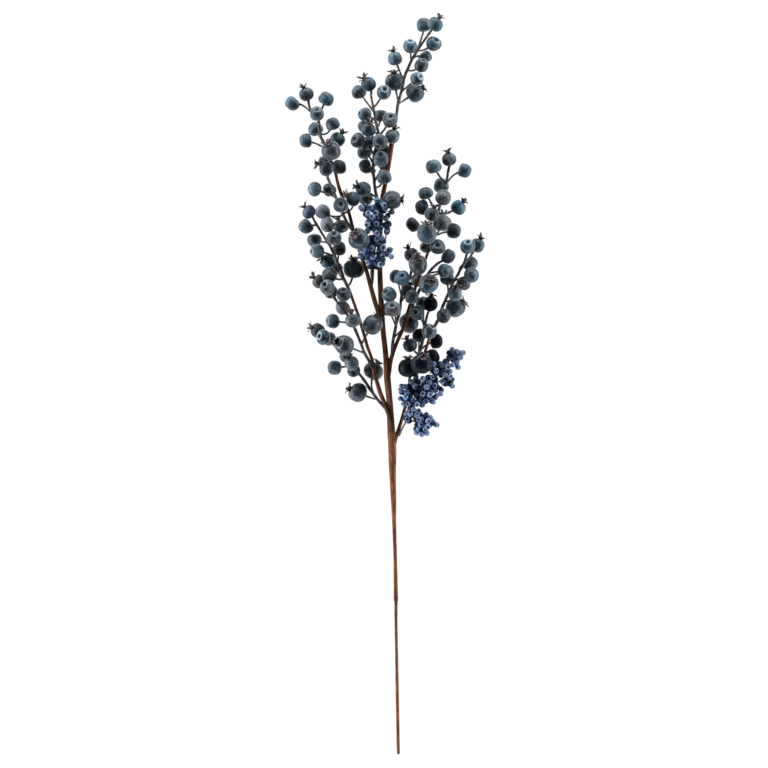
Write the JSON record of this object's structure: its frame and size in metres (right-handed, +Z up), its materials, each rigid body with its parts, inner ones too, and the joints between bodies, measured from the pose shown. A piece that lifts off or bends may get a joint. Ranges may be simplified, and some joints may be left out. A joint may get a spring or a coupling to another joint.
{
  "type": "artificial blueberry sprig",
  "caption": "Artificial blueberry spray lying flat: a paper-taped wire stem with taped side branches, sprays of foam blueberries on plastic twigs, and heads of small blue seed berries.",
  "frame": {"origin": "bottom centre of the box round the spray as it lies: midway along its length and its width, on the surface that it rests on", "axes": "+Y runs along the spray from the cut foot of the stem to the topmost berry, +X is to the right across it seen from above with the tip away from the viewer, +Z is up from the surface"},
  "size_m": [0.2023, 0.7428, 0.0601],
  "materials": {
    "stem_tape": "matte",
    "berry": "matte",
    "seed": "matte",
    "twig": "matte",
    "crown": "matte"
  },
  "bodies": {
    "root": {"main_stem": "stem_tape", "branch_upper_left": "stem_tape", "branch_left": "stem_tape", "branch_right": "stem_tape", "branch_lower_right": "stem_tape", "spray_top": "berry", "spray_upper_centre": "berry", "spray_upper_left": "berry", "spray_left_fan": "berry", "spray_left_mid": "berry", "spray_left_inner": "berry", "spray_left_low": "berry", "spray_right_upper": "berry", "spray_right_inner": "berry", "spray_right_mid": "berry", "spray_right_outer": "berry", "spray_right_low": "berry", "seed_head_upper": "seed", "seed_head_lower": "seed"}
  },
  "joints": []
}
